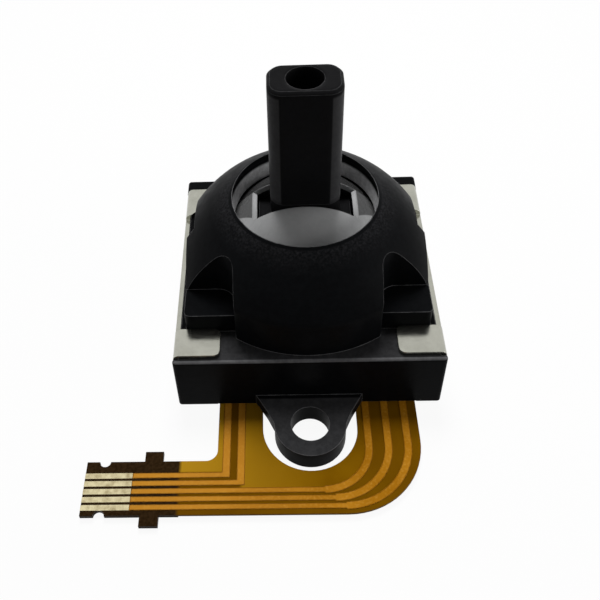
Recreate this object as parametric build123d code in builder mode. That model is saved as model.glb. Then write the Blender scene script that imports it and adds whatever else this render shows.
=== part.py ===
from build123d import *
import os
from math import acos, asin, atan2, cos, degrees, radians, sin, sqrt, tan

os.makedirs("parts", exist_ok=True)

# A small analog stick module: a domed housing in a folded metal frame, a stick on a two-axis gimbal,
# two sliding wiper carriers, a click switch and a five-contact flexible circuit.
# Millimetres. X runs across, Y runs to the back, Z runs up from the underside of the metal plate.

# Clearances
running_clearance = 0.04
free_clearance = 0.1
sheet_gap = 0.05

# Housing outline
body_width = 16.5
depth_trim = 0.14
flange_top = 4.85
flange_thickness = 0.8
wall = 0.95
edge_round = 0.22
cavity_corner = 0.6

# Metal frame
sheet_thickness = 0.3
bend_radius = 0.12
frame_front_inset = 0.33
frame_back_inset = 1.33
claw_reach = 2.9
claw_corner = 0.4
back_claw_length = 2.6
back_claw_end = 1.0
back_claw_land = 0.83
side_wall_drop = 0.18

# Flexible circuit
film_thickness = 0.15
foil_thickness = 0.02
pad_thickness = 0.03
contact_pitch = 0.5
left_traces = 2
right_traces = 3
first_contact_inset = 0.93
tail_reach = 5.27
tail_offset = 3.99
tail_margin = 1.41
band_left_inset = 2.6
band_right_inset = 1.61
band_inner_corner = 0.7
band_outer_corner = 4.65
ear_window_margin = 0.72
ear_window_shift = 0.25
pad_length = 2.85
stiffener_length = 5.72
stiffener_thickness = 0.13
tab_inset = 1.68
tab_width = 1.1
tab_reach = 0.65
notch_inset = 1.1
notch_radius = 0.33
tail_trace_width = 0.34
band_trace_width = 0.48
left_trace_inset = 0.55
left_trace_step = 0.88
right_trace_margin = 0.78
right_trace_share = 0.296
right_trace_arc = 2.8
right_trace_arc_step = 0.58

# Fixing ear
ear_radius = 2.18
ear_reach = 2.07
ear_hole_radius = 1.17
ear_thickness = 1.35
ear_root_half = 3.35
ear_neck_half = 2.57
ear_neck_reach = 1.25

# Dome
dome_overhang = 0.59
drum_inset = 0.5
cheek_inset = 0.72
cheek_back_y = -0.6
dome_flat_inset = 1.25
pocket_inset_x = 3.83
pocket_inset_y = 4.6
pocket_round = 1.1
drum_edge_round = 0.3
shelf_inset = 2.45
shelf_height = 1.5
shelf_corner = 0.35
dome_blend = 0.8

# Snap nubs on the side walls, in windows of the metal frame
nub_y = -0.4
nub_half = 1.3
nub_bottom = 2.2
nub_top = 3.5
nub_proud = 0.12

# Opening in the dome
throat_inset = 1.0
rim_land = 0.08
rim_rise = 1.748
undercut_depth = 0.14
undercut_drop = 0.55

# Gimbal
gimbal_lift = 2.2
tilt_limit = 15.0
click_travel = 0.3

# Tilting dome that closes the opening
ball_overhang = 0.18
ball_wall = 0.7
ball_gap = 0.15
ball_edge_height = 1.49
shoulder_step = 0.74
slot_bevel = 0.3
sleeve_wall = 0.65
sleeve_corner = 0.95
sleeve_height = 1.8

# Stick
shaft_half_x = 2.12
shaft_half_y = 1.4
shaft_corner = 0.9
neck_half_y = 1.17
shaft_top = 19.45
shaft_chamfer = 0.18
cap_bore_radius = 1.08
cap_bore_depth = 3.5
shoulder_height = 3.6
collar_thickness = 0.2
hub_step_x = 0.17
hub_step_y = 0.3
hub_corner = 0.4
hub_drop = 0.95
peg_radius = 0.8
cross_pin_radius = 0.6
cross_pin_fit = 0.01

# Gimbal ring and cradle
ring_play = 0.5
ring_wall = 0.85
ring_half_height = 0.8
ring_corner = 0.8
trunnion_radius = 0.7
trunnion_recess = 0.15
cradle_ear_half = 1.2
cradle_lift = 0.15
cradle_plate_thickness = 0.7
cradle_ear_thickness = 0.8
cradle_bore = 2.3
key_half = 0.5
key_depth = 0.5

# Tray and spring
tray_floor = 0.8
tray_corner = 0.5
seat_height = 1.75
guide_wall = 0.36
seat_width = 0.62
spring_wire = 0.36
spring_wire_sides = 6
spring_turns = 3.0
spring_slack = 0.03

# Wiper carriers
carrier_thickness = 0.5
slot_play = 0.2
carrier_side = 0.8
carrier_end = 0.6
arm_half = 1.1
foot_lift = 0.3
track_inset = 1.2
track_width = 0.32
track_pitch = 0.52
track_half_length = 2.3
channel_half_length = 2.7
channel_margin = 0.18
wiper_thickness = 0.1
wiper_width = 0.3
wiper_reach = 0.5
wiper_drop = 0.15

# Click switch
snap_radius = 1.9
snap_height = 0.34
snap_sheet = 0.06
plunger_overlap = 0.15
plunger_flange = 0.12
plunger_height = 0.35
plunger_lift = 0.01
peg_lift = 0.03
switch_pad_radius = 0.5
switch_ring_width = 0.35

# Places that follow from the sizes above
film_top = sheet_thickness + film_thickness
foil_top = film_top + foil_thickness
half_width = body_width / 2
body_depth = body_width - depth_trim
half_depth = body_depth / 2
cavity_half = half_width - wall
cavity_top = flange_top - flange_thickness
frame_outer = half_width - sheet_gap
frame_inner = frame_outer - sheet_thickness
frame_front_y = -half_depth + frame_front_inset
frame_back_y = half_depth - frame_back_inset
frame_depth = frame_back_y - frame_front_y
frame_middle_y = (frame_back_y + frame_front_y) / 2
shelf_y = half_width - shelf_inset
shelf_top = flange_top + shelf_height
claw_inner_x = half_width - claw_reach
front_claw_length = -frame_front_y - shelf_y - sheet_gap
ear_y = -half_depth - ear_reach
ear_neck_y = -half_depth - ear_neck_reach
ear_window_y = ear_y + ear_window_shift
ear_window_radius = ear_radius + ear_window_margin
tail_end_x = -half_width - tail_reach
tail_top_y = -half_depth - tail_offset
tail_bottom_y = tail_top_y - tail_margin - contact_pitch * (left_traces + right_traces - 1)
first_contact_y = tail_top_y - first_contact_inset
pad_inner_x = tail_end_x + pad_length
stiffener_inner_x = tail_end_x + stiffener_length
tab_x = stiffener_inner_x - tab_inset
notch_x = tail_end_x + notch_inset
band_left_x = -half_width + band_left_inset
band_right_x = half_width - band_right_inset
left_trace_x = band_left_x + left_trace_inset
right_trace_x = ear_radius + right_trace_share * (band_right_x - ear_radius)
right_trace_step = (band_right_x - right_trace_margin - right_trace_x) / (right_traces - 1)
dome_radius = half_width + dome_overhang
drum_radius = half_width - drum_inset
cheek_x = half_width - cheek_inset
dome_flat_x = half_width - dome_flat_inset
pocket_x = half_width - pocket_inset_x
pocket_y = half_width - pocket_inset_y
slot_half_x = shaft_half_x + shoulder_step + free_clearance
slot_half_y = neck_half_y + free_clearance
hub_half_x = shaft_half_x - hub_step_x
hub_half_y = shaft_half_y + hub_step_y
ring_inner_half = hub_half_x + ring_play
ring_outer_half = ring_inner_half + ring_wall
ear_inner_y = ring_outer_half + free_clearance
cradle_radius = ear_inner_y + cradle_ear_thickness
trunnion_length = cradle_radius - trunnion_recess - ring_outer_half
guide_radius = cradle_radius + running_clearance
seat_inner = guide_radius + guide_wall
seat_outer = seat_inner + seat_width
spring_mean = (seat_inner + seat_outer) / 2
ball_radius = seat_outer + ball_overhang
floor_top = film_top + tray_floor
lower_carrier_z = floor_top + sheet_gap
upper_carrier_z = lower_carrier_z + carrier_thickness + free_clearance
cradle_bottom = upper_carrier_z + carrier_thickness + click_travel + cradle_lift
cradle_plate_top = cradle_bottom + cradle_plate_thickness
gimbal_z = cradle_plate_top + gimbal_lift
cavity_radius = ball_radius + ball_gap
throat_radius = ball_radius - throat_inset
throat_z = gimbal_z + sqrt(cavity_radius**2 - throat_radius**2)
rim_radius = throat_radius + rim_land
rim_z = throat_z + rim_rise
undercut_radius = rim_radius + undercut_depth
undercut_z = rim_z - undercut_drop
dome_centre_z = rim_z - sqrt(dome_radius**2 - rim_radius**2)
shoulder_half_x = slot_half_x - free_clearance
ball_edge_z = gimbal_z + ball_edge_height
sleeve_bottom_z = gimbal_z + sleeve_height
sleeve_half_y = slot_half_y + sleeve_wall
collar_bottom_z = sleeve_bottom_z - collar_thickness
neck_top_z = gimbal_z + ball_radius + free_clearance
tray_half = cavity_half - free_clearance
seat_top = floor_top + seat_height
snap_top = foil_top + snap_height
plunger_bottom = snap_top + plunger_lift
plunger_top = plunger_bottom + plunger_height
peg_tip = gimbal_z - plunger_top - peg_lift
well_radius = snap_radius + free_clearance
well_mouth = sqrt(peg_tip**2 - (gimbal_z - click_travel - floor_top) ** 2) + free_clearance
plunger_radius = well_radius - sheet_gap
plunger_stem_radius = well_mouth - plunger_overlap
foot_bottom = film_top + foot_lift
track_near_y = tray_half - track_inset
channel_far_y = tray_half - channel_margin
channel_near_y = track_near_y - channel_margin


def save(part, name):
    """Label a finished piece and write it as its own file."""
    part.label = name
    export_step(part, f"parts/{name}.step")


def near(value, target):
    return abs(value - target) < 0.01


# Domed housing with its fixing ear, one moulding
with BuildPart() as dome_housing:
    # Spherical cheeks: a slab across a sphere
    foot_angle = degrees(asin((flange_top - dome_centre_z) / dome_radius))
    with BuildSketch(Plane.XZ):
        with BuildLine():
            Polyline(
                (0, dome_centre_z + dome_radius),
                (0, flange_top),
                (dome_radius * cos(radians(foot_angle)), flange_top),
            )
            CenterArc((0, dome_centre_z), dome_radius, foot_angle, 90 - foot_angle)
        make_face()
    revolve(axis=Axis.Z)
    with BuildSketch(Plane.XY.offset(flange_top)):
        with Locations((0, (cheek_back_y - pocket_y) / 2)):
            Rectangle(2 * cheek_x, pocket_y + cheek_back_y)
    extrude(amount=dome_radius, mode=Mode.INTERSECT)
    # The same sphere turned down to a drum, with a blended shoulder
    shoulder_angle = degrees(acos(drum_radius / dome_radius))
    shoulder_z = dome_centre_z + dome_radius * sin(radians(shoulder_angle))
    with BuildSketch(Plane.XZ):
        with BuildLine():
            Polyline(
                (0, dome_centre_z + dome_radius),
                (0, flange_top),
                (drum_radius, flange_top),
                (drum_radius, shoulder_z),
            )
            CenterArc((0, dome_centre_z), dome_radius, shoulder_angle, 90 - shoulder_angle)
        make_face()
        fillet(vertices().sort_by_distance((drum_radius, shoulder_z))[0], radius=dome_blend)
    revolve(axis=Axis.Z)
    # Flats at the sides and rounded pockets at the front corners
    drum_edge_y = -sqrt(drum_radius**2 - pocket_x**2)
    with BuildSketch(Plane.XY.offset(flange_top)):
        Circle(drum_radius)
        Rectangle(2 * pocket_x, 2 * drum_radius, mode=Mode.INTERSECT)
        with Locations((0, (dome_radius - pocket_y) / 2)):
            Rectangle(2 * dome_flat_x, dome_radius + pocket_y)
        with Locations((0, (cheek_back_y - pocket_y) / 2)):
            Rectangle(2 * cheek_x, pocket_y + cheek_back_y)
        pocket_corners = vertices().filter_by(
            lambda corner: near(abs(corner.X), pocket_x) and near(corner.Y, -pocket_y)
        )
        fillet(pocket_corners, radius=pocket_round)
        drum_corners = vertices().filter_by(
            lambda corner: near(abs(corner.X), pocket_x) and near(corner.Y, drum_edge_y)
        )
        fillet(drum_corners, radius=drum_edge_round)
    extrude(amount=dome_radius, mode=Mode.INTERSECT)
    # Front corner shelves beside the drum
    with BuildSketch(Plane.XY.offset(flange_top)):
        for side in (-1, 1):
            with Locations((side * (pocket_x + cheek_x) / 2, -(pocket_y + shelf_y) / 2)):
                Rectangle(cheek_x - pocket_x, shelf_y - pocket_y)
    extrude(amount=shelf_top - flange_top)
    shelf_edges = dome_housing.edges().filter_by(Axis.Z).filter_by(
        lambda edge: near(abs(edge.center().X), cheek_x) and near(edge.center().Y, -shelf_y)
    )
    fillet(shelf_edges, radius=shelf_corner)
    # Square body below the flange, with side recesses for the metal frame
    with BuildSketch(Plane.XY.offset(film_top)):
        RectangleRounded(body_width, body_depth, edge_round)
        for side in (-1, 1):
            with Locations((side * (frame_inner - sheet_gap + half_width) / 2, frame_middle_y)):
                Rectangle(
                    half_width - frame_inner + sheet_gap,
                    frame_depth + 2 * sheet_gap,
                    mode=Mode.SUBTRACT,
                )
    extrude(amount=flange_top - film_top)
    rim_edges = dome_housing.edges().filter_by(Axis.X).filter_by(
        lambda edge: near(edge.center().Z, flange_top) and near(abs(edge.center().Y), half_depth)
    )
    fillet(rim_edges, radius=edge_round)
    # Snap nubs on the side walls
    with BuildSketch(Plane.XY.offset(nub_bottom)):
        for side in (-1, 1):
            with Locations((side * (frame_inner - sheet_gap + frame_outer + nub_proud) / 2, nub_y)):
                Rectangle(frame_outer + nub_proud - frame_inner + sheet_gap, 2 * nub_half)
    extrude(amount=nub_top - nub_bottom)
    # Ear: a flared neck on the front wall and a round end that reaches down to the module's underside
    with BuildSketch(Plane.XY.offset(film_top)):
        with BuildLine():
            Polyline(
                (-ear_radius, ear_y),
                (-ear_neck_half, ear_neck_y),
                (-ear_root_half, -half_depth + sheet_gap),
                (ear_root_half, -half_depth + sheet_gap),
                (ear_neck_half, ear_neck_y),
                (ear_radius, ear_y),
            )
            ThreePointArc((ear_radius, ear_y), (0, ear_y - ear_radius), (-ear_radius, ear_y))
        make_face()
    extrude(amount=ear_thickness - film_top)
    with BuildSketch(Plane.XY):
        with Locations((0, ear_y)):
            Circle(ear_radius)
        with Locations((0, (ear_y - half_depth - sheet_gap) / 2)):
            Rectangle(2 * ear_radius, -ear_y - half_depth - sheet_gap)
    extrude(amount=ear_thickness)
    with BuildSketch(Plane.XY):
        with Locations((0, ear_y)):
            Circle(ear_hole_radius)
    extrude(amount=ear_thickness, mode=Mode.SUBTRACT)
    # Throat, ball seat and drum-shaped room for the spring
    seat_angle = degrees(atan2(throat_z - gimbal_z, throat_radius))
    with BuildSketch(Plane.XZ):
        with BuildLine():
            Polyline(
                (cavity_radius, gimbal_z),
                (cavity_radius, film_top),
                (0, film_top),
                (0, dome_centre_z + dome_radius),
                (rim_radius, dome_centre_z + dome_radius),
                (rim_radius, rim_z),
                (undercut_radius, undercut_z),
                (throat_radius, throat_z),
            )
            CenterArc((0, gimbal_z), cavity_radius, seat_angle, -seat_angle)
        make_face()
    revolve(axis=Axis.Z, mode=Mode.SUBTRACT)
    # Square room below the flange
    with BuildSketch(Plane.XY.offset(film_top)):
        RectangleRounded(2 * cavity_half, 2 * cavity_half, cavity_corner)
    extrude(amount=cavity_top - film_top, mode=Mode.SUBTRACT)
    # Relief under the front wall where the circuit leaves
    ear_far_y = ear_y - ear_radius
    with BuildSketch(Plane.XY.offset(film_top)):
        with Locations(((band_left_x + band_right_x) / 2, (ear_far_y - cavity_half) / 2)):
            Rectangle(band_right_x - band_left_x + 2 * free_clearance, -ear_far_y - cavity_half)
        with Locations((0, ear_y)):
            Circle(ear_radius, mode=Mode.SUBTRACT)
        with Locations((0, (ear_y - half_depth - sheet_gap) / 2)):
            Rectangle(2 * ear_radius, -ear_y - half_depth - sheet_gap, mode=Mode.SUBTRACT)
    extrude(amount=2 * foil_thickness, mode=Mode.SUBTRACT)
save(dome_housing.part, "dome_housing")

# Folded sheet frame: floor plate, two side walls and four claws over the flange
wall_middle = frame_outer - sheet_thickness / 2
claw_middle_z = flange_top + (sheet_gap + sheet_thickness) / 2
corner_bend = bend_radius + sheet_thickness / 2
with BuildPart() as metal_frame:
    with BuildSketch(Plane.XY):
        with Locations((0, frame_middle_y)):
            Rectangle(2 * (frame_inner - bend_radius), frame_depth)
    extrude(amount=sheet_thickness)
    for side in (-1, 1):
        with BuildSketch(Plane.XZ.offset(-frame_middle_y)):
            with BuildLine():
                FilletPolyline(
                    (side * (frame_inner - 2 * bend_radius), sheet_thickness / 2),
                    (side * wall_middle, sheet_thickness / 2),
                    (side * wall_middle, flange_top - side_wall_drop),
                    radius=corner_bend,
                )
            trace(line_width=sheet_thickness)
        extrude(amount=frame_depth / 2, both=True)
        for claw_y, claw_length in (
            (frame_front_y + front_claw_length / 2, front_claw_length),
            (frame_back_y - back_claw_length / 2, back_claw_length),
        ):
            with BuildSketch(Plane.XZ.offset(-claw_y)):
                with BuildLine():
                    FilletPolyline(
                        (side * wall_middle, flange_top / 2),
                        (side * wall_middle, claw_middle_z),
                        (side * claw_inner_x, claw_middle_z),
                        radius=corner_bend,
                    )
                trace(line_width=sheet_thickness)
            extrude(amount=claw_length / 2, both=True)
    # Back claws slant in from the wall to a narrower end
    slant_y = frame_back_y - back_claw_length
    with BuildSketch(Plane.XY.offset(flange_top)):
        for side in (-1, 1):
            with BuildLine():
                Polyline(
                    (side * (wall_middle - corner_bend), slant_y),
                    (side * (claw_inner_x + back_claw_land), frame_back_y - back_claw_end),
                    (side * claw_inner_x, frame_back_y - back_claw_end),
                    (side * claw_inner_x, slant_y),
                    close=True,
                )
            make_face()
    extrude(amount=2 * sheet_thickness, mode=Mode.SUBTRACT)
    claw_edges = metal_frame.edges().filter_by(Axis.Z).filter_by(
        lambda edge: near(abs(edge.center().X), claw_inner_x)
    )
    fillet(claw_edges, radius=claw_corner)
    # Windows for the housing's snap nubs
    with BuildSketch(Plane.XY.offset(nub_bottom - free_clearance)):
        for side in (-1, 1):
            with Locations((side * wall_middle, nub_y)):
                Rectangle(2 * sheet_thickness, 2 * (nub_half + free_clearance))
    extrude(amount=nub_top - nub_bottom + 2 * free_clearance, mode=Mode.SUBTRACT)
save(metal_frame.part, "metal_frame")


def tail_plan(inner_x):
    """Outline of the circuit's tail from its end to inner_x, with two tabs and two notches."""
    middle_y = (tail_top_y + tail_bottom_y) / 2
    with BuildSketch() as plan:
        with Locations(((tail_end_x + inner_x) / 2, middle_y)):
            Rectangle(inner_x - tail_end_x, tail_top_y - tail_bottom_y)
        with Locations((tab_x, middle_y)):
            Rectangle(tab_width, tail_top_y - tail_bottom_y + 2 * tab_reach)
        with Locations((notch_x, tail_top_y), (notch_x, tail_bottom_y)):
            Circle(notch_radius, mode=Mode.SUBTRACT)
    return plan.sketch


# Flexible circuit film: it lies on the floor plate, leaves under the front wall and turns to its tail
film_half = cavity_half - free_clearance
with BuildPart() as flex_film:
    with BuildSketch(Plane.XY.offset(sheet_thickness)):
        with BuildLine():
            Polyline(
                (band_left_x, -film_half),
                (band_left_x, tail_top_y),
                (stiffener_inner_x, tail_top_y),
                (stiffener_inner_x, tail_bottom_y),
                (band_right_x, tail_bottom_y),
                (band_right_x, -film_half),
                close=True,
            )
        make_face()
        inner_corner = vertices().sort_by_distance((band_left_x, tail_top_y))[0]
        fillet(inner_corner, radius=band_inner_corner)
        outer_corner = vertices().sort_by_distance((band_right_x, tail_bottom_y))[0]
        fillet(outer_corner, radius=band_outer_corner)
        add(tail_plan(stiffener_inner_x))
        Rectangle(2 * film_half, 2 * film_half)
        with Locations((0, ear_window_y)):
            Circle(ear_window_radius, mode=Mode.SUBTRACT)
        with Locations((0, (ear_window_y - half_depth) / 2)):
            Rectangle(2 * ear_window_radius, -ear_window_y - half_depth, mode=Mode.SUBTRACT)
    extrude(amount=film_thickness)
save(flex_film.part, "flex_film")

# Stiffener under the tail's end
with BuildPart() as tail_stiffener:
    with BuildSketch(Plane.XY.offset(sheet_thickness - stiffener_thickness)):
        add(tail_plan(stiffener_inner_x))
    extrude(amount=stiffener_thickness)
save(tail_stiffener.part, "tail_stiffener")

# Copper traces: the left ones turn square into their rows, the right ones sweep round in arcs
trace_start_y = -tray_half - sheet_gap
with BuildPart() as copper_traces:
    with BuildSketch(Plane.XY.offset(film_top)):
        for number in range(left_traces):
            row_y = first_contact_y - number * contact_pitch
            riser_x = left_trace_x + number * left_trace_step
            with BuildLine():
                Line((riser_x, trace_start_y), (riser_x, row_y - tail_trace_width / 2))
            trace(line_width=band_trace_width)
            with BuildLine():
                Line((riser_x, row_y), (pad_inner_x, row_y))
            trace(line_width=tail_trace_width)
        for number in range(right_traces):
            row_y = first_contact_y - (left_traces + number) * contact_pitch
            riser_x = right_trace_x + number * right_trace_step
            arc = right_trace_arc + number * right_trace_arc_step
            with BuildLine():
                Line((riser_x, trace_start_y), (riser_x, row_y + arc))
                CenterArc((riser_x - arc, row_y + arc), arc, 0, -90)
            trace(line_width=band_trace_width)
            with BuildLine():
                Line((riser_x - arc, row_y), (pad_inner_x, row_y))
            trace(line_width=tail_trace_width)
    extrude(amount=foil_thickness)
save(copper_traces.part, "copper_traces")

# Tinned contact pads at the tail's end
with BuildPart() as contact_pads:
    with BuildSketch(Plane.XY.offset(film_top)):
        for number in range(left_traces + right_traces):
            with Locations(((tail_end_x + pad_inner_x) / 2, first_contact_y - number * contact_pitch)):
                Rectangle(pad_inner_x - tail_end_x, tail_trace_width)
    extrude(amount=pad_thickness)
save(contact_pads.part, "contact_pads")

# Resistive track and collector strip for each direction, printed on the film
def track_plan(turn):
    """Two parallel strips, along X at the back or turned to run along Y at the right."""
    with BuildSketch(Plane.XY.rotated((0, 0, turn))) as plan:
        with Locations((0, track_near_y + track_width / 2), (0, track_near_y + track_width / 2 + track_pitch)):
            Rectangle(2 * track_half_length, track_width)
    return plan.sketch


with BuildPart() as carbon_track_x:
    with BuildSketch(Plane.XY.offset(film_top)):
        add(track_plan(0))
    extrude(amount=foil_thickness)
save(carbon_track_x.part, "carbon_track_x")

with BuildPart() as carbon_track_y:
    with BuildSketch(Plane.XY.offset(film_top)):
        add(track_plan(-90))
    extrude(amount=foil_thickness)
save(carbon_track_y.part, "carbon_track_y")

# Switch contacts on the film: a centre pad inside a ring
with BuildPart() as switch_contacts:
    with BuildSketch(Plane.XY.offset(film_top)):
        Circle(snap_radius)
        Circle(snap_radius - switch_ring_width, mode=Mode.SUBTRACT)
        Circle(switch_pad_radius)
    extrude(amount=foil_thickness)
save(switch_contacts.part, "switch_contacts")

# Snap dome: a shallow spherical cap of thin sheet that stands on the ring
snap_curve = (snap_radius**2 + snap_height**2) / (2 * snap_height)
snap_curve_z = snap_top - snap_curve
snap_inner_rim = sqrt((snap_curve - snap_sheet) ** 2 - (foil_top - snap_curve_z) ** 2)
with BuildPart() as snap_dome:
    with BuildSketch(Plane.XZ):
        with BuildLine():
            outer_rim_angle = degrees(asin((foil_top - snap_curve_z) / snap_curve))
            inner_rim_angle = degrees(asin((foil_top - snap_curve_z) / (snap_curve - snap_sheet)))
            CenterArc((0, snap_curve_z), snap_curve, outer_rim_angle, 90 - outer_rim_angle)
            Line((0, snap_top), (0, snap_top - snap_sheet))
            CenterArc((0, snap_curve_z), snap_curve - snap_sheet, inner_rim_angle, 90 - inner_rim_angle)
            Line((snap_inner_rim, foil_top), (snap_radius, foil_top))
        make_face()
    revolve(axis=Axis.Z)
save(snap_dome.part, "snap_dome")

# Click plunger: a flange kept under the tray's lip and a stem that meets the stick's peg
with BuildPart() as click_plunger:
    with BuildSketch(Plane.XY.offset(plunger_bottom)):
        Circle(plunger_radius)
    extrude(amount=plunger_flange)
    with BuildSketch(Plane.XY.offset(plunger_bottom)):
        Circle(plunger_stem_radius)
    extrude(amount=plunger_height)
save(click_plunger.part, "click_plunger")

# Travel of the two carriers at the stick's largest tilt
tilt = radians(tilt_limit)
upper_lever = gimbal_z - upper_carrier_z - carrier_thickness / 2
lower_lever = gimbal_z - lower_carrier_z - carrier_thickness / 2
upper_travel = upper_lever * tan(tilt)
lower_travel = lower_lever * tan(tilt)
peg_spread = peg_radius / cos(tilt) + carrier_thickness * sin(tilt)
lip_z = plunger_bottom + plunger_flange + free_clearance

# Tray: floor with switch well and track channels, a round guide wall and the spring seat round it
with BuildPart() as base_tray:
    with BuildSketch(Plane.XY.offset(film_top)):
        RectangleRounded(2 * tray_half, 2 * tray_half, tray_corner)
    extrude(amount=tray_floor)
    with BuildSketch(Plane.XY.offset(floor_top)):
        Circle(seat_outer)
        Circle(guide_radius, mode=Mode.SUBTRACT)
    extrude(amount=seat_top - floor_top)
    with BuildSketch(Plane.XY.offset(seat_top)):
        Circle(seat_inner)
        Circle(guide_radius, mode=Mode.SUBTRACT)
    extrude(amount=cradle_plate_top - seat_top)
    # Keys that stop the cradle from turning
    with BuildSketch(Plane.XY.offset(cradle_bottom - click_travel)):
        for side in (-1, 1):
            with Locations((side * (guide_radius + guide_wall / 2 - key_depth / 2), 0)):
                Rectangle(guide_wall + key_depth, 2 * (key_half - running_clearance))
    extrude(amount=cradle_plate_top - cradle_bottom + click_travel)
    # Switch well with a lip over the plunger's flange
    with BuildSketch(Plane.XY.offset(film_top)):
        Circle(well_radius)
    extrude(amount=lip_z - film_top, mode=Mode.SUBTRACT)
    with BuildSketch(Plane.XY.offset(film_top)):
        Circle(well_mouth)
    extrude(amount=tray_floor, mode=Mode.SUBTRACT)
    # Channels over the tracks, and doors in the round wall for the two arms
    with BuildSketch(Plane.XY.offset(film_top)):
        channel_middle = (channel_near_y + channel_far_y) / 2
        channel_width = channel_far_y - channel_near_y
        with Locations((0, channel_middle)):
            Rectangle(2 * channel_half_length, channel_width)
        with Locations((channel_middle, 0)):
            Rectangle(channel_width, 2 * channel_half_length)
    extrude(amount=tray_floor, mode=Mode.SUBTRACT)
    door_length = seat_outer + free_clearance
    with BuildSketch(Plane.XY.offset(floor_top)):
        with Locations((0, door_length / 2)):
            Rectangle(2 * (arm_half + upper_travel + 2 * free_clearance), door_length)
        with Locations((door_length / 2, 0)):
            Rectangle(door_length, 2 * (arm_half + lower_travel + 2 * free_clearance))
    extrude(amount=upper_carrier_z + carrier_thickness + free_clearance - floor_top, mode=Mode.SUBTRACT)
save(base_tray.part, "base_tray")


def build_carrier(base_z, slot_half, turn):
    """One carrier: its slotted plate, its arm and the foot that runs in the tray's channel."""
    side_half = peg_radius + slot_play + carrier_side
    foot_near = channel_near_y + running_clearance
    foot_far = channel_far_y - running_clearance
    with BuildPart() as carrier:
        with BuildSketch(Plane.XY.offset(base_z).rotated((0, 0, turn))):
            Rectangle(2 * side_half, 2 * (slot_half + carrier_end))
            with Locations((0, foot_far / 2)):
                Rectangle(2 * arm_half, foot_far)
            SlotOverall(2 * slot_half, 2 * (peg_radius + slot_play), rotation=90, mode=Mode.SUBTRACT)
        extrude(amount=carrier_thickness)
        with BuildSketch(Plane.XY.offset(foot_bottom).rotated((0, 0, turn))):
            with Locations((0, (foot_near + foot_far) / 2)):
                Rectangle(2 * arm_half, foot_far - foot_near)
        extrude(amount=base_z + carrier_thickness - foot_bottom)
    return carrier.part


upper_slot_half = upper_travel / cos(tilt) + peg_spread + free_clearance
lower_slot_half = lower_travel + peg_spread + free_clearance
wiper_carrier_x = build_carrier(upper_carrier_z, upper_slot_half, 0)
save(wiper_carrier_x, "wiper_carrier_x")
wiper_carrier_y = build_carrier(lower_carrier_z, lower_slot_half, -90)
save(wiper_carrier_y, "wiper_carrier_y")


def build_wiper(turn):
    """Spring-metal wiper: a plate under the carrier's foot and two fingers bent down to the strips."""
    plate_z = foot_bottom - wiper_thickness / 2
    strip_y = track_near_y + track_width / 2
    with BuildPart() as wiper:
        with BuildSketch(Plane.XY.offset(foot_bottom - wiper_thickness).rotated((0, 0, turn))):
            with Locations((0, strip_y + track_pitch / 2)):
                Rectangle(2 * (arm_half - free_clearance), track_pitch + wiper_width)
        extrude(amount=wiper_thickness)
        across = Plane.XY.rotated((0, 0, turn))
        for number in range(2):
            strip_origin = across.from_local_coords((0, strip_y + number * track_pitch, 0))
            with BuildSketch(Plane(origin=strip_origin, x_dir=across.x_dir, z_dir=-across.y_dir)):
                with BuildLine():
                    Polyline(
                        (0, plate_z),
                        (arm_half - free_clearance, plate_z),
                        (arm_half - free_clearance + wiper_reach, plate_z - wiper_drop),
                    )
                trace(line_width=wiper_thickness)
            extrude(amount=wiper_width / 2, both=True)
    return wiper.part


wiper_x = build_wiper(0)
save(wiper_x, "wiper_x")
wiper_y = build_wiper(-90)
save(wiper_y, "wiper_y")

# Return spring: a coil between the tray's seat and the lower edge of the tilting dome
spring_bottom = seat_top + spring_slack + spring_wire / 2
spring_height = ball_edge_z - spring_slack - spring_wire / 2 - spring_bottom
with BuildPart() as return_spring:
    with BuildLine(Plane.XY.offset(spring_bottom)):
        coil = Helix(pitch=spring_height / spring_turns, height=spring_height, radius=spring_mean)
    with BuildSketch(Plane(origin=coil @ 0, z_dir=coil % 0)):
        RegularPolygon(spring_wire / 2, spring_wire_sides)
    sweep(path=coil)
save(return_spring.part, "return_spring")

# Cradle: a keyed round plate that slides down in the tray, with two bearing ears for the gimbal ring
with BuildPart() as gimbal_cradle:
    with BuildSketch(Plane.XY.offset(cradle_bottom)):
        Circle(cradle_radius)
    extrude(amount=cradle_plate_thickness)
    with BuildSketch(Plane.XZ.offset(-cradle_radius)):
        with BuildLine():
            Polyline(
                (-cradle_ear_half, gimbal_z),
                (-cradle_ear_half, cradle_plate_top),
                (cradle_ear_half, cradle_plate_top),
                (cradle_ear_half, gimbal_z),
            )
            ThreePointArc(
                (cradle_ear_half, gimbal_z),
                (0, gimbal_z + cradle_ear_half),
                (-cradle_ear_half, gimbal_z),
            )
        make_face()
    extrude(amount=2 * cradle_radius)
    # The ears keep inside the plate's round outline and outside the ring's faces
    with BuildSketch(Plane.XY.offset(cradle_bottom)):
        Circle(cradle_radius)
    extrude(amount=2 * cradle_radius, mode=Mode.INTERSECT)
    with BuildSketch(Plane.XY.offset(cradle_plate_top)):
        Rectangle(2 * cradle_radius, 2 * ear_inner_y)
    extrude(amount=2 * cradle_radius, mode=Mode.SUBTRACT)
    with BuildSketch(Plane.XY.offset(cradle_bottom)):
        Circle(cradle_bore)
        for side in (-1, 1):
            with Locations((side * cradle_radius, 0)):
                Rectangle(2 * (key_depth + free_clearance), 2 * key_half)
    extrude(amount=cradle_plate_thickness, mode=Mode.SUBTRACT)
    with BuildSketch(Plane.XZ.offset(-cradle_radius)):
        with Locations((0, gimbal_z)):
            Circle(trunnion_radius + running_clearance)
    extrude(amount=2 * cradle_radius, mode=Mode.SUBTRACT)
save(gimbal_cradle.part, "gimbal_cradle")

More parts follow.
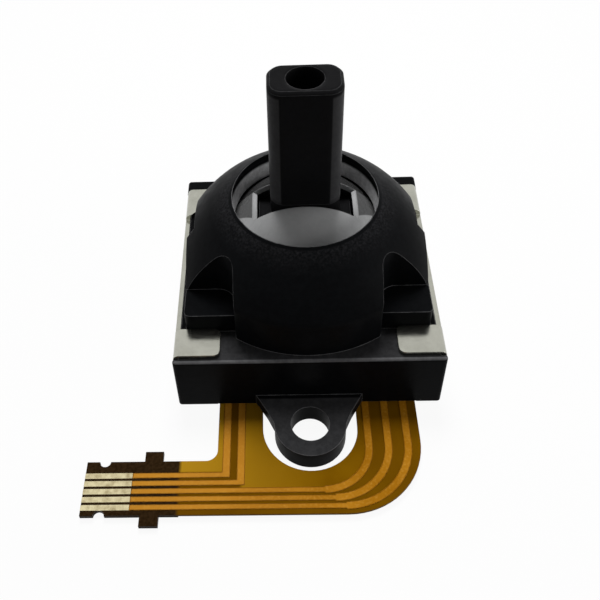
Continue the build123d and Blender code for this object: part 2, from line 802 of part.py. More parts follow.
# Gimbal ring: a square ring with a trunnion front and back and a cross hole for the stick's pin
with BuildPart() as gimbal_ring:
    with BuildSketch(Plane.XZ.offset(-ring_outer_half - trunnion_length)):
        with Locations((0, gimbal_z)):
            Circle(trunnion_radius)
    extrude(amount=2 * (ring_outer_half + trunnion_length))
    with BuildSketch(Plane.XY.offset(gimbal_z - ring_half_height)):
        RectangleRounded(2 * ring_outer_half, 2 * ring_outer_half, ring_corner)
    extrude(amount=2 * ring_half_height)
    with BuildSketch(Plane.XY.offset(gimbal_z - ring_half_height)):
        RectangleRounded(2 * ring_inner_half, 2 * ring_inner_half, hub_corner)
    extrude(amount=2 * ring_half_height, mode=Mode.SUBTRACT)
    with BuildSketch(Plane.YZ.offset(-ring_outer_half)):
        with Locations((0, gimbal_z)):
            Circle(cross_pin_radius + cross_pin_fit)
    extrude(amount=2 * ring_outer_half, mode=Mode.SUBTRACT)
save(gimbal_ring.part, "gimbal_ring")

# Cross pin through the ring and the stick's hub
with BuildPart() as cross_pin:
    with BuildSketch(Plane.YZ.offset(-ring_outer_half + sheet_gap)):
        with Locations((0, gimbal_z)):
            Circle(cross_pin_radius)
    extrude(amount=2 * (ring_outer_half - sheet_gap))
save(cross_pin.part, "cross_pin")

# Stick: shaft with two flats, shoulder in the dome's slot, collar, hub on the cross pin, and peg
with BuildPart() as stick_shaft:
    with BuildSketch(Plane.XY.offset(collar_bottom_z)):
        RectangleRounded(2 * shaft_half_x, 2 * neck_half_y, shaft_corner)
    extrude(amount=neck_top_z - collar_bottom_z)
    with BuildSketch(Plane.XY.offset(neck_top_z)):
        RectangleRounded(2 * shaft_half_x, 2 * shaft_half_y, shaft_corner)
    extrude(amount=shaft_top - neck_top_z)
    chamfer(stick_shaft.faces().sort_by(Axis.Z)[-1].edges(), length=shaft_chamfer)
    with BuildSketch(Plane.XY.offset(collar_bottom_z)):
        Rectangle(2 * shoulder_half_x, 2 * neck_half_y)
    extrude(amount=gimbal_z + shoulder_height - collar_bottom_z)
    with BuildSketch(Plane.XY.offset(collar_bottom_z)):
        RectangleRounded(2 * shoulder_half_x, 2 * sleeve_half_y, hub_corner)
    extrude(amount=collar_thickness)
    with BuildSketch(Plane.XY.offset(gimbal_z - hub_drop)):
        RectangleRounded(2 * hub_half_x, 2 * hub_half_y, hub_corner)
    extrude(amount=collar_bottom_z - gimbal_z + hub_drop)
    tip_angle = degrees(asin(peg_radius / peg_tip))
    with BuildSketch(Plane.XZ):
        with BuildLine():
            CenterArc((0, gimbal_z), peg_tip, -90, tip_angle)
            Polyline(
                (peg_radius, gimbal_z - peg_tip * cos(radians(tip_angle))),
                (peg_radius, gimbal_z - hub_drop),
                (0, gimbal_z - hub_drop),
                (0, gimbal_z - peg_tip),
            )
        make_face()
    revolve(axis=Axis.Z)
    with BuildSketch(Plane.YZ.offset(-hub_half_x)):
        with Locations((0, gimbal_z)):
            Circle(cross_pin_radius + running_clearance)
    extrude(amount=2 * hub_half_x, mode=Mode.SUBTRACT)
    with BuildSketch(Plane.XY.offset(shaft_top - cap_bore_depth)):
        Circle(cap_bore_radius)
    extrude(amount=cap_bore_depth, mode=Mode.SUBTRACT)
save(stick_shaft.part, "stick_shaft")

# Tilting dome: a spherical shell with a slot for the stick and a sleeve that stands on its collar
edge_angle = degrees(asin(ball_edge_height / ball_radius))
inner_ball = ball_radius - ball_wall
inner_edge_angle = degrees(asin(ball_edge_height / inner_ball))
with BuildPart() as tilt_dome:
    with BuildSketch(Plane.XZ):
        with BuildLine():
            CenterArc((0, gimbal_z), ball_radius, edge_angle, 90 - edge_angle)
            Line((0, gimbal_z + ball_radius), (0, gimbal_z + inner_ball))
            CenterArc((0, gimbal_z), inner_ball, inner_edge_angle, 90 - inner_edge_angle)
            Line(
                (inner_ball * cos(radians(inner_edge_angle)), ball_edge_z),
                (ball_radius * cos(radians(edge_angle)), ball_edge_z),
            )
        make_face()
    revolve(axis=Axis.Z)
    with BuildSketch(Plane.XY.offset(sleeve_bottom_z)):
        RectangleRounded(2 * (slot_half_x + sleeve_wall), 2 * sleeve_half_y, sleeve_corner)
    extrude(until=Until.NEXT)
    with BuildSketch(Plane.XY.offset(sleeve_bottom_z)):
        Rectangle(2 * slot_half_x, 2 * slot_half_y)
    extrude(amount=ball_radius, mode=Mode.SUBTRACT)
    slot_ends = tilt_dome.edges().filter_by(GeomType.CIRCLE).filter_by(
        lambda edge: near(abs(edge.center().X), slot_half_x) and edge.center().Z > gimbal_z + inner_ball / 2
    )
    chamfer(slot_ends, length=slot_bevel)
save(tilt_dome.part, "tilt_dome")
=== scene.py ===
import math

import bpy
from mathutils import Matrix, Vector


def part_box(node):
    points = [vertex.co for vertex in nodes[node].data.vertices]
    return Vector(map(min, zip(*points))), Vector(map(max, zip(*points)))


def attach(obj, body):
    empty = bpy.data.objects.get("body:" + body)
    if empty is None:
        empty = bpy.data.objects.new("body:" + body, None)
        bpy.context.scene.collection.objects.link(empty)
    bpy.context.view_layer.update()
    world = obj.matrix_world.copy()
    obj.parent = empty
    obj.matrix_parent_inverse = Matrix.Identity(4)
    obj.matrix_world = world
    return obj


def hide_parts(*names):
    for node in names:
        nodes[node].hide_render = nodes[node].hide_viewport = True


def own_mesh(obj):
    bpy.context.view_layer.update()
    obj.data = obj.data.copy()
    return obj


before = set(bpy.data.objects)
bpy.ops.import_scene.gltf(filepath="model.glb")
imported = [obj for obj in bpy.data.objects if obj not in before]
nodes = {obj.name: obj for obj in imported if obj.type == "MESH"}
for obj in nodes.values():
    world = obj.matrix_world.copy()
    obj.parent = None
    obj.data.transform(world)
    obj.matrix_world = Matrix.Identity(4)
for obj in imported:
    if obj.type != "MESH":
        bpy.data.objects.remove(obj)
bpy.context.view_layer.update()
MM = 0.001


# Places on the CAD pieces that the materials follow, in millimetres

def corners(node_name):
    """A CAD node's lowest and highest corners."""
    return [Vector(corner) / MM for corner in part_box(node_name)]


PIVOT_Z = sum(corner.z for corner in corners("cross_pin")) / 2
BALL_RADIUS = corners("tilt_dome")[1].x
SLOT_END_X = 3.24
SLOT_BACK_Y = 1.25

DOME_TOP = corners("dome_housing")[1].z
FRONT_WALL_Y = -corners("dome_housing")[1].y
RIM_RADIUS = 4.65
FLANGE_TOP = 4.85
EAR_TOP = 1.35

STICK_TOP = corners("stick_shaft")[1].z
FLAT_EDGE_X = 1.42

BACKED_X = corners("tail_stiffener")[1].x
PAD_WIDTH = 0.34
FIRST_ROW_Y = corners("contact_pads")[1].y - PAD_WIDTH / 2
ROW_PITCH = 0.5
FIRST_RISER_X = -5.1
SECOND_RISER_X = -4.2
ARC_RADIUS = 2.8
ARC_X = 0.7
ARC_Y = FIRST_ROW_Y - 2 * ROW_PITCH + ARC_RADIUS


# Material nodes, and the range that holds most of a noise texture's values

NOISE_RANGE = (0.3, 0.7)
BLACK_COLOUR = (0.0, 0.0, 0.0)


def material(name):
    mat = bpy.data.materials.new(name)
    mat.use_nodes = True
    tree = mat.node_tree
    return mat, tree, tree.nodes["Principled BSDF"]


def link(tree, a, b):
    tree.links.new(a, b)


def coords(tree):
    return tree.nodes.new("ShaderNodeTexCoord").outputs["Object"]


def axes_of(tree, place):
    split = tree.nodes.new("ShaderNodeSeparateXYZ")
    link(tree, place, split.inputs[0])
    return split.outputs


def scaled(tree, source, scale):
    mapping = tree.nodes.new("ShaderNodeMapping")
    mapping.inputs["Scale"].default_value = scale
    link(tree, source, mapping.inputs["Vector"])
    return mapping.outputs["Vector"]


def noise(tree, source, per_mm, detail=3.0, roughness=0.5):
    node = tree.nodes.new("ShaderNodeTexNoise")
    node.inputs["Scale"].default_value = per_mm / MM
    node.inputs["Detail"].default_value = detail
    node.inputs["Roughness"].default_value = roughness
    link(tree, source, node.inputs["Vector"])
    return node.outputs["Fac"]


def remap(tree, source, low, high, to_low=0.0, to_high=1.0):
    node = tree.nodes.new("ShaderNodeMapRange")
    for socket, value in zip(node.inputs[1:5], (low, high, to_low, to_high)):
        socket.default_value = value
    link(tree, source, node.inputs[0])
    return node.outputs[0]


def above(tree, source, low, high):
    """0 up to low and 1 from high on, both in millimetres."""
    return remap(tree, source, low * MM, high * MM)


def below(tree, source, low, high):
    """1 up to low and 0 from high on, both in millimetres."""
    return remap(tree, source, low * MM, high * MM, 1.0, 0.0)


def math_node(tree, operation, *values):
    """The operation on numbers and outputs; a third value and more are taken in one after another."""
    node = tree.nodes.new("ShaderNodeMath")
    node.operation = operation
    for socket, value in zip(node.inputs, values[:2]):
        if isinstance(value, (int, float)):
            socket.default_value = value
        else:
            link(tree, value, socket)
    if len(values) > 2:
        return math_node(tree, operation, node.outputs[0], *values[2:])
    return node.outputs[0]


def length(tree, *offsets):
    """The length of the line that has these offsets along the axes."""
    squares = [math_node(tree, "MULTIPLY", offset, offset) for offset in offsets]
    return math_node(tree, "SQRT", math_node(tree, "ADD", *squares))


def mix(tree, factor, a, b):
    node = tree.nodes.new("ShaderNodeMix")
    node.data_type = "RGBA"
    link(tree, factor, node.inputs["Factor"])
    for socket, value in ((node.inputs[6], a), (node.inputs[7], b)):
        if isinstance(value, tuple):
            socket.default_value = (*value, 1)
        else:
            link(tree, value, socket)
    return node.outputs[2]


def edge_mask(tree, radius):
    """White where the surface is within radius of an edge, and the softened normal there."""
    bevel = tree.nodes.new("ShaderNodeBevel")
    bevel.samples = 6
    bevel.inputs["Radius"].default_value = radius * MM
    geometry = tree.nodes.new("ShaderNodeNewGeometry")
    dot = tree.nodes.new("ShaderNodeVectorMath")
    dot.operation = "DOT_PRODUCT"
    link(tree, bevel.outputs["Normal"], dot.inputs[0])
    link(tree, geometry.outputs["True Normal"], dot.inputs[1])
    return remap(tree, dot.outputs["Value"], 0.995, 0.88), bevel.outputs["Normal"]


def bump(tree, height, strength, distance, normal):
    node = tree.nodes.new("ShaderNodeBump")
    node.inputs["Strength"].default_value = strength
    node.inputs["Distance"].default_value = distance * MM
    link(tree, height, node.inputs["Height"])
    link(tree, normal, node.inputs["Normal"])
    return node.outputs["Normal"]


# Zones of the pieces that look different, as masks; most of them mark painted light, shade, highlights or
# sheen

def painted_throat_sheen(tree, place):
    """The cylindrical wall under the opening's rim, painted pale grey: a painted sheen on the black
    moulding.
    """
    x, y, z = axes_of(tree, place)
    inside = below(tree, length(tree, x, y), RIM_RADIUS - 0.1, RIM_RADIUS)
    under_rim = below(tree, z, DOME_TOP - 0.88, DOME_TOP - 0.73)
    over_foot = above(tree, z, DOME_TOP - 1.98, DOME_TOP - 1.88)
    return math_node(tree, "MULTIPLY", inside, under_rim, over_foot)


def rim_scuffs_and_sheen(tree, place):
    """Fine scuffs and a painted sheen on the dome just outside the opening's rim."""
    x, y, z = axes_of(tree, place)
    radius = length(tree, x, y)
    fading = below(tree, radius, RIM_RADIUS + 0.1, RIM_RADIUS + 1.25)
    outside = above(tree, radius, RIM_RADIUS + 0.01, RIM_RADIUS + 0.07)
    high = above(tree, z, DOME_TOP - 1.88, DOME_TOP - 1.48)
    speckle = remap(tree, noise(tree, place, 7.0, detail=4.0, roughness=0.6), 0.4, 0.7, 0.1, 1.0)
    return math_node(tree, "MULTIPLY", fading, outside, high, speckle)


def painted_light_ear_top(tree, place):
    """The top face of the fixing ear, painted paler than the dome: painted light where the face turns up to
    the lamp.
    """
    _, y, z = axes_of(tree, place)
    front = below(tree, y, FRONT_WALL_Y - 0.32, FRONT_WALL_Y - 0.22)
    return math_node(tree, "MULTIPLY", front, above(tree, z, EAR_TOP - 0.06, EAR_TOP - 0.03))


def painted_light_flange_top(tree, place):
    """The top of the flange in front of the drum, with its rounded front edge: painted light where it faces
    the lamp.
    """
    _, y, z = axes_of(tree, place)
    front = below(tree, y, FRONT_WALL_Y + 2.18, FRONT_WALL_Y + 2.58)
    raised = above(tree, z, FLANGE_TOP - 0.14, FLANGE_TOP - 0.04)
    return math_node(tree, "MULTIPLY", front, raised, below(tree, z, FLANGE_TOP + 0.02, FLANGE_TOP + 0.04))


def painted_highlight_flange_edge(tree, place):
    """The rounding along the flange's front edge: a painted highlight."""
    _, y, z = axes_of(tree, place)
    front = below(tree, y, FRONT_WALL_Y + 0.16, FRONT_WALL_Y + 0.2)
    raised = above(tree, z, FLANGE_TOP - 0.16, FLANGE_TOP - 0.12)
    return math_node(tree, "MULTIPLY", front, raised, below(tree, z, FLANGE_TOP + 0.02, FLANGE_TOP + 0.04))


def painted_light_stick_sides(tree, place):
    """The rounded sides of the stick, left and right of its two flats: painted light where they face the
    side lamps.
    """
    x, _, z = axes_of(tree, place)
    outward = above(tree, math_node(tree, "ABSOLUTE", x), FLAT_EDGE_X, FLAT_EDGE_X + 0.08)
    over_dome = above(tree, z, DOME_TOP + 0.12, DOME_TOP + 0.72)
    under_tip = below(tree, z, STICK_TOP - 0.5, STICK_TOP - 0.35)
    return math_node(tree, "MULTIPLY", outward, over_dome, under_tip)


def painted_shade_ball_inside(tree, place):
    """The inside of the tilting dome below its polished skin: painted shade, a dark copy of the dome's
    material.
    """
    x, y, z = axes_of(tree, place)
    radius = length(tree, x, y, math_node(tree, "SUBTRACT", z, PIVOT_Z * MM))
    return below(tree, radius, BALL_RADIUS - 0.15, BALL_RADIUS - 0.09)


def painted_shade_behind_slot(tree, place):
    """The back of the tilting dome, behind the stick's slot: painted shade."""
    return above(tree, axes_of(tree, place)[1], SLOT_BACK_Y, SLOT_BACK_Y + 0.1)


def painted_shade_slot_flanks(tree, place):
    """The zones of the tilting dome beyond the ends of the stick's slot: painted shade, darker than the
    dome's lit front.
    """
    x, y, _ = axes_of(tree, place)
    outward = math_node(tree, "SUBTRACT", math_node(tree, "ABSOLUTE", x), SLOT_END_X * MM)
    border = math_node(tree, "SUBTRACT", math_node(tree, "MULTIPLY", outward, 0.8), 1.1 * MM)
    behind = above(tree, math_node(tree, "SUBTRACT", y, border), 0.0, 0.06)
    return math_node(tree, "MULTIPLY", above(tree, outward, 0.0, 0.05), behind)


def clear_film(tree, place):
    """The film that no trace crosses: the corner by the tail, and the field inside the innermost arc."""
    x, y, _ = axes_of(tree, place)
    beside_riser = below(tree, x, FIRST_RISER_X - 0.1, FIRST_RISER_X + 0.1)
    behind_rows = above(tree, y, FIRST_ROW_Y + 0.12, FIRST_ROW_Y + 0.28)
    past_x = math_node(tree, "MAXIMUM", math_node(tree, "SUBTRACT", x, ARC_X * MM), 0.0)
    past_y = math_node(tree, "MAXIMUM", math_node(tree, "SUBTRACT", ARC_Y * MM, y), 0.0)
    inside_arc = below(tree, length(tree, past_x, past_y), ARC_RADIUS - 0.1, ARC_RADIUS + 0.1)
    past_risers = above(tree, x, SECOND_RISER_X - 0.1, SECOND_RISER_X + 0.1)
    corner = math_node(tree, "MULTIPLY", beside_riser, behind_rows)
    return math_node(tree, "ADD", corner, math_node(tree, "MULTIPLY", past_risers, inside_arc))


# Materials, and how far their edges reach in millimetres

RUB_AND_HIGHLIGHT_WIDTH = 0.07
SHEARED_WIDTH = 0.05
CUT_WIDTH = 0.03
ETCHED_WIDTH = 0.1


def moulded(
    name,
    colour,
    wear_and_highlight,
    roughness=(0.34, 0.46),
    grain=9.0,
    depth=0.004,
    specular=0.015,
    zones=(),
    softness=None,
    mottled=0.3,
):
    """Injection-moulded plastic: fine spark grain, faint flow patches, lighter edges that are partly rubbed
    and partly a painted highlight.

    zones are mask functions, each with the colour that the plastic takes inside it; most of them paint light
    or shade.
    softness rounds the shading over wider edges than the rubbed and highlit ones.
    """
    mat, tree, shader = material(name)
    place = coords(tree)
    edge, normal = edge_mask(tree, RUB_AND_HIGHLIGHT_WIDTH)
    if softness:
        normal = edge_mask(tree, softness)[1]
    fine = noise(tree, place, grain, detail=4.0)
    patches = noise(tree, place, 0.22)
    mottle = noise(tree, place, 2.6, detail=5.0, roughness=0.7)
    # Lighter edges: partly edge wear, partly a painted highlight along every edge
    rub_and_highlight = math_node(tree, "MULTIPLY", edge, remap(tree, noise(tree, place, 1.3), *NOISE_RANGE, 0.35, 1.0))
    shade = mix(tree, remap(tree, patches, *NOISE_RANGE), colour, tuple(1.35 * c for c in colour))
    for mask, zone_colour in zones:
        shade = mix(tree, mask(tree, place), shade, zone_colour)
    shade = mix(tree, remap(tree, mottle, 0.38, 0.62, mottled, 0.0), shade, BLACK_COLOUR)
    rough = remap(tree, noise(tree, place, 1.7, detail=5.0), *NOISE_RANGE, *roughness)
    polished = math_node(tree, "SUBTRACT", rough, math_node(tree, "MULTIPLY", rub_and_highlight, 0.06))
    link(tree, mix(tree, rub_and_highlight, shade, wear_and_highlight), shader.inputs["Base Color"])
    link(tree, polished, shader.inputs["Roughness"])
    link(tree, bump(tree, fine, 0.5, depth, normal), shader.inputs["Normal"])
    shader.inputs["Specular IOR Level"].default_value = specular
    return mat


def metal(name, colour, dark, roughness=(0.15, 0.24), grain=(1.0, 12.0, 1.0), tarnish=0.4, blot=1.1):
    """Rolled or drawn metal: grain along one way, faint stains, bright edges."""
    mat, tree, shader = material(name)
    place = coords(tree)
    edge, normal = edge_mask(tree, SHEARED_WIDTH)
    lines = noise(tree, scaled(tree, place, grain), 2.2, detail=5.0)
    stains = noise(tree, place, blot, detail=5.0, roughness=0.65)
    bright = tuple(min(1.0, 1.15 * c) for c in colour)
    base = mix(tree, remap(tree, stains, 0.38, 0.68, 0.0, tarnish), colour, dark)
    base = mix(tree, math_node(tree, "MULTIPLY", edge, 0.5), base, bright)
    link(tree, base, shader.inputs["Base Color"])
    link(tree, remap(tree, lines, *NOISE_RANGE, *roughness), shader.inputs["Roughness"])
    link(tree, bump(tree, lines, 0.25, 0.004, normal), shader.inputs["Normal"])
    shader.inputs["Metallic"].default_value = 1.0
    return mat


def cover_film(tree, shader, rough, relief, normal, specular, tint):
    """The surface of the circuit's cover film: its gloss, faint relief and amber-tinted sheen."""
    link(tree, rough, shader.inputs["Roughness"])
    link(tree, bump(tree, relief, 0.3, 0.003, normal), shader.inputs["Normal"])
    shader.inputs["Specular IOR Level"].default_value = specular
    shader.inputs["Specular Tint"].default_value = (*tint, 1)


def film_material():
    """Amber film: paler where it is clear toward the tail as painted light, brown among the traces as
    painted shade, dark where the laminate backs it.
    """
    mat, tree, shader = material("polyimide_film")
    place = coords(tree)
    wander = math_node(tree, "MULTIPLY", noise(tree, place, 1.2), 0.12 * MM)
    along = math_node(tree, "ADD", axes_of(tree, place)[0], wander)
    cloud = noise(tree, place, 0.35, detail=4.0)
    weave = noise(tree, place, 6.0)
    clear = clear_film(tree, place)
    # Painted light: the clear film is painted paler toward the tail end
    painted_light_on_clear = math_node(tree, "MULTIPLY", clear, below(tree, along, -8.0, 1.0))
    # Painted shade: the film among the traces is painted browner, most toward the tail end
    painted_shade_among_traces = math_node(
        tree, "MULTIPLY",
        math_node(tree, "SUBTRACT", 1.0, clear),
        remap(tree, along, -8.0 * MM, 1.0 * MM, 0.6, 0.35))
    amber = mix(tree, remap(tree, cloud, *NOISE_RANGE), (0.19, 0.082, 0.0008), (0.25, 0.115, 0.0016))
    amber = mix(tree, painted_shade_among_traces, amber, (0.08, 0.028, 0.0008))
    amber = mix(tree, painted_light_on_clear, amber, (0.47, 0.25, 0.012))
    brown = mix(tree, remap(tree, weave, 0.35, 0.65), (0.016, 0.008, 0.003), (0.032, 0.017, 0.007))
    backed = below(tree, along, BACKED_X - 0.1, BACKED_X + 0.1)
    link(tree, mix(tree, backed, amber, brown), shader.inputs["Base Color"])
    rough = remap(tree, noise(tree, place, 0.9, detail=4.0), *NOISE_RANGE, 0.26, 0.4)
    normal = edge_mask(tree, CUT_WIDTH)[1]
    cover_film(tree, shader, rough, weave, normal, specular=0.04, tint=(1.0, 0.6, 0.08))
    return mat


def copper_material():
    """Copper seen through the amber cover film: golden, slightly uneven, paler toward the tail as painted
    light, dark along its edges as painted shade.
    """
    mat, tree, shader = material("covered_copper")
    place = coords(tree)
    cloud = noise(tree, place, 0.5, detail=4.0)
    etched = noise(tree, place, 7.0)
    edge, normal = edge_mask(tree, ETCHED_WIDTH)
    # Painted light: the copper is painted brighter toward the tail end
    painted_light_toward_tail = remap(tree, axes_of(tree, place)[0], -7.0 * MM, 3.0 * MM, 0.6, 0.0)
    gold = mix(tree, remap(tree, cloud, *NOISE_RANGE), (0.36, 0.14, 0.004), (0.50, 0.21, 0.012))
    gold = mix(tree, painted_light_toward_tail, gold, (0.64, 0.28, 0.035))
    gold = mix(tree, remap(tree, etched, 0.5, 0.75, 0.0, 0.5), gold, (0.66, 0.33, 0.05))
    # Painted shade along the traces' edges
    link(tree, mix(tree, edge, gold, (0.06, 0.018, 0.001)), shader.inputs["Base Color"])
    rough = remap(tree, etched, *NOISE_RANGE, 0.28, 0.44)
    cover_film(tree, shader, rough, etched, normal, specular=0.08, tint=(1.0, 0.6, 0.15))
    return mat


BLACK = moulded(
    "black_moulding",
    (0.004, 0.0043, 0.0048),
    wear_and_highlight=(0.24, 0.24, 0.245),
    zones=(
        # Painted sheen on the wall under the opening's rim
        (painted_throat_sheen, (0.72, 0.72, 0.73)),
        # Painted light on the ear's top face
        (painted_light_ear_top, (0.043, 0.043, 0.045)),
        # Painted light on the flange's top
        (painted_light_flange_top, (0.04, 0.04, 0.042)),
        # Painted highlight along the flange's front edge
        (painted_highlight_flange_edge, (0.15, 0.15, 0.155)),
        # Scuffs and a painted sheen round the opening's rim
        (rim_scuffs_and_sheen, (0.026, 0.026, 0.028)),
    ),
)
STICK = moulded(
    "black_stick",
    (0.008, 0.008, 0.0085),
    wear_and_highlight=(0.14, 0.14, 0.145),
    roughness=(0.3, 0.42),
    grain=7.0,
    depth=0.005,
    # Painted light on the stick's rounded sides
    zones=((painted_light_stick_sides, (0.058, 0.058, 0.06)),),
    softness=0.4,
    mottled=0.15,
)
BALL = moulded(
    "polished_dome",
    (0.33, 0.333, 0.335),
    wear_and_highlight=(0.2, 0.2, 0.202),
    roughness=(0.24, 0.32),
    grain=5.0,
    depth=0.001,
    specular=0.22,
    zones=(
        # Painted shade on the dome's flanks beyond the slot ends
        (painted_shade_slot_flanks, (0.12, 0.121, 0.121)),
        # Painted shade on the dome behind the slot
        (painted_shade_behind_slot, (0.03, 0.03, 0.03)),
        # Painted shade inside the dome
        (painted_shade_ball_inside, (0.006, 0.006, 0.006)),
    ),
    mottled=0.04,
)
TRAY = moulded("tray_moulding", (0.012, 0.012, 0.013), wear_and_highlight=(0.04, 0.04, 0.042))
INNER = moulded("gimbal_moulding", (0.01, 0.01, 0.0105), wear_and_highlight=(0.03, 0.03, 0.032), roughness=(0.28, 0.4))
NATURAL = moulded("natural_moulding", (0.6, 0.58, 0.52), wear_and_highlight=(0.7, 0.68, 0.64), roughness=(0.3, 0.42))
LAMINATE = moulded(
    "brown_laminate",
    (0.017, 0.009, 0.004),
    wear_and_highlight=(0.05, 0.03, 0.016),
    roughness=(0.4, 0.55),
    grain=6.0,
    depth=0.006,
)
CARBON = moulded(
    "printed_carbon",
    (0.01, 0.01, 0.011),
    wear_and_highlight=(0.03, 0.03, 0.03),
    roughness=(0.5, 0.65),
    grain=8.0,
    depth=0.006,
)
SHEET = metal("rolled_sheet", (0.44, 0.44, 0.385), dark=(0.29, 0.29, 0.245))
PIN = metal(
    "ground_steel",
    (0.58, 0.58, 0.58),
    dark=(0.4, 0.4, 0.4),
    roughness=(0.15, 0.28),
    grain=(12.0, 1.0, 1.0),
)
SPRING = metal("spring_steel", (0.55, 0.55, 0.56), dark=(0.35, 0.35, 0.36), roughness=(0.15, 0.3))
WIPER = metal("plated_bronze", (0.72, 0.62, 0.36), dark=(0.5, 0.4, 0.2), roughness=(0.2, 0.32))
TIN = metal(
    "tinned_contact",
    (0.74, 0.66, 0.41),
    dark=(0.34, 0.27, 0.14),
    roughness=(0.18, 0.28),
    grain=(3.0, 9.0, 1.0),
    tarnish=0.8,
    blot=2.6,
)
FILM = film_material()
COPPER = copper_material()

LOOKS = {
    "dome_housing": BLACK,
    "metal_frame": SHEET,
    "stick_shaft": STICK,
    "tilt_dome": BALL,
    "flex_film": FILM,
    "copper_traces": COPPER,
    "contact_pads": TIN,
    "tail_stiffener": LAMINATE,
    "base_tray": TRAY,
    "gimbal_cradle": INNER,
    "gimbal_ring": INNER,
    "cross_pin": PIN,
    "return_spring": SPRING,
    "wiper_carrier_x": NATURAL,
    "wiper_carrier_y": NATURAL,
    "wiper_x": WIPER,
    "wiper_y": WIPER,
    "carbon_track_x": CARBON,
    "carbon_track_y": CARBON,
    "switch_contacts": TIN,
    "snap_dome": SPRING,
    "click_plunger": NATURAL,
}
for node_name, look in LOOKS.items():
    for material_slot in nodes[node_name].material_slots:
        material_slot.material = look


# Sprung pieces, copied onto the housing in place of their CAD nodes

def yielding(node_name, piece_name):
    """A copy of a CAD node, hung on the housing in place of the node, which is hidden."""
    piece = bpy.data.objects.new(piece_name, nodes[node_name].data.copy())
    bpy.context.scene.collection.objects.link(piece)
    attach(piece, "housing")
    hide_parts(node_name)
    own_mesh(piece)


yielding("snap_dome", "snap_dome_sheet")
yielding("return_spring", "return_spring_coils")


# Floor, world and lamps: the floor's reach in metres and its drop below the object in millimetres, the
# share of plain white in the floor as it is seen, and the world's strength as the object receives it

FLOOR_REACH = 2.0
FLOOR_DROP = 0.02
FLOOR_GLOW = 0.93
WORLD_LIGHT = 0.12


def shown(tree):
    """1 for the rays that show the white studio: seen directly, in a reflection or through a clear piece."""
    path = tree.nodes.new("ShaderNodeLightPath").outputs
    rays = (path["Is Camera Ray"], path["Is Glossy Ray"], path["Is Transmission Ray"])
    return math_node(tree, "MAXIMUM", *rays)


floor_mesh = bpy.data.meshes.new("floor")
floor_corners = [(x * FLOOR_REACH, y * FLOOR_REACH, 0) for x, y in ((-1, -1), (1, -1), (1, 1), (-1, 1))]
floor_mesh.from_pydata(floor_corners, [], [(0, 1, 2, 3)])
floor = bpy.data.objects.new("floor", floor_mesh)
bpy.context.scene.collection.objects.link(floor)
floor.location.z = -FLOOR_DROP * MM
floor_mat, floor_tree, floor_shader = material("pale_floor")
floor_shader.inputs["Roughness"].default_value = 0.9
floor_shader.inputs["Specular IOR Level"].default_value = 0.1
seen = shown(floor_tree)
# The floor in front throws less light up at the object than the floor behind it
backward = axes_of(floor_tree, coords(floor_tree))[1]
bounce = remap(floor_tree, backward, -6.0 * MM, 14.0 * MM, 0.12, 0.85)
bounce_colour = mix(floor_tree, bounce, BLACK_COLOUR, (1.0, 1.0, 1.0))
link(floor_tree, mix(floor_tree, seen, bounce_colour, (0.9, 0.9, 0.9)), floor_shader.inputs["Base Color"])
glow = floor_tree.nodes.new("ShaderNodeEmission")
glow.inputs["Strength"].default_value = 1.0
glowing_floor = floor_tree.nodes.new("ShaderNodeMixShader")
link(floor_tree, math_node(floor_tree, "MULTIPLY", seen, FLOOR_GLOW), glowing_floor.inputs[0])
link(floor_tree, floor_shader.outputs[0], glowing_floor.inputs[1])
link(floor_tree, glow.outputs[0], glowing_floor.inputs[2])
link(floor_tree, glowing_floor.outputs[0], floor_tree.nodes["Material Output"].inputs["Surface"])
floor_mesh.materials.append(floor_mat)

world = bpy.data.worlds.new("studio")
bpy.context.scene.world = world
world.use_nodes = True
world_tree = world.node_tree
background = world_tree.nodes["Background"]
background.inputs["Color"].default_value = (1, 1, 1, 1)
white_part = math_node(world_tree, "MULTIPLY", shown(world_tree), 1.0 - WORLD_LIGHT)
link(world_tree, math_node(world_tree, "ADD", white_part, WORLD_LIGHT), background.inputs["Strength"])


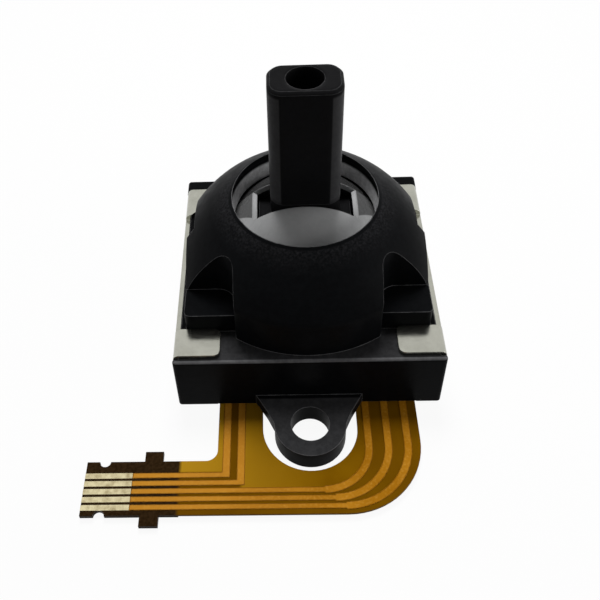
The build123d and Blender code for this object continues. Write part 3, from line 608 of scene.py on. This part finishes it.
def softbox(name, place, aim, width, height, level):
    """A soft rectangular lamp; level is its brightness where 1 is paper white."""
    data = bpy.data.lights.new(name, "AREA")
    data.shape = "RECTANGLE"
    data.size = width * MM
    data.size_y = height * MM
    data.energy = level * math.pi * data.size * data.size_y
    lamp = bpy.data.objects.new(name, data)
    bpy.context.scene.collection.objects.link(lamp)
    lamp.location = Vector(place) * MM
    lamp.rotation_euler = (Vector(aim) * MM - lamp.location).to_track_quat("-Z", "Y").to_euler()
    return lamp


softbox("overhead", (-4, 42, 110), (0, 0, 6), 44, 44, 19.0).visible_glossy = False
softbox("card_left", (-130, -35, 45), (0, 0, 8), 100, 70, 0.8)
softbox("card_right", (130, -35, 45), (0, 0, 8), 100, 70, 3.2)


# Camera, from the fit of the model's points to the photograph: angles in degrees, the focal length and
# the optical centre in pixels, and distances in the fit's unit, which is UNIT millimetres

PHOTO = 600
AZIMUTH, ELEVATION, ROLL = 3.19, 44.89, -3.58
FOCAL = 838.25
CENTRE_X, CENTRE_Y = 250, 225
DEPTH, SLIDE_X, SLIDE_Y = 53.53, 3.48, -5.02
UNIT = 1.1
ORIGIN_Z = 0.35
SENSOR = 36.0

az, el, ro = (math.radians(angle) for angle in (AZIMUTH, ELEVATION, ROLL))
forward = Vector((-math.sin(az) * math.cos(el), math.cos(az) * math.cos(el), -math.sin(el)))
right = Vector((math.cos(az), math.sin(az), 0))
up = right.cross(forward)
right, up = math.cos(ro) * right + math.sin(ro) * up, -math.sin(ro) * right + math.cos(ro) * up
eye = Vector((0, 0, ORIGIN_Z)) - (right * SLIDE_X + up * SLIDE_Y + forward * DEPTH) * UNIT
camera_data = bpy.data.cameras.new("camera")
camera_data.sensor_width = SENSOR
camera_data.lens = SENSOR * FOCAL / PHOTO
camera_data.shift_x = (PHOTO / 2 - CENTRE_X) / PHOTO
camera_data.shift_y = (CENTRE_Y - PHOTO / 2) / PHOTO
camera_data.clip_start = 0.001
camera_data.clip_end = 10.0
camera = bpy.data.objects.new("camera", camera_data)
camera.matrix_world = Matrix.Translation(eye * MM) @ Matrix((right, up, -forward)).transposed().to_4x4()
bpy.context.scene.collection.objects.link(camera)
bpy.context.scene.camera = camera
bpy.context.scene.view_settings.view_transform = "Standard"
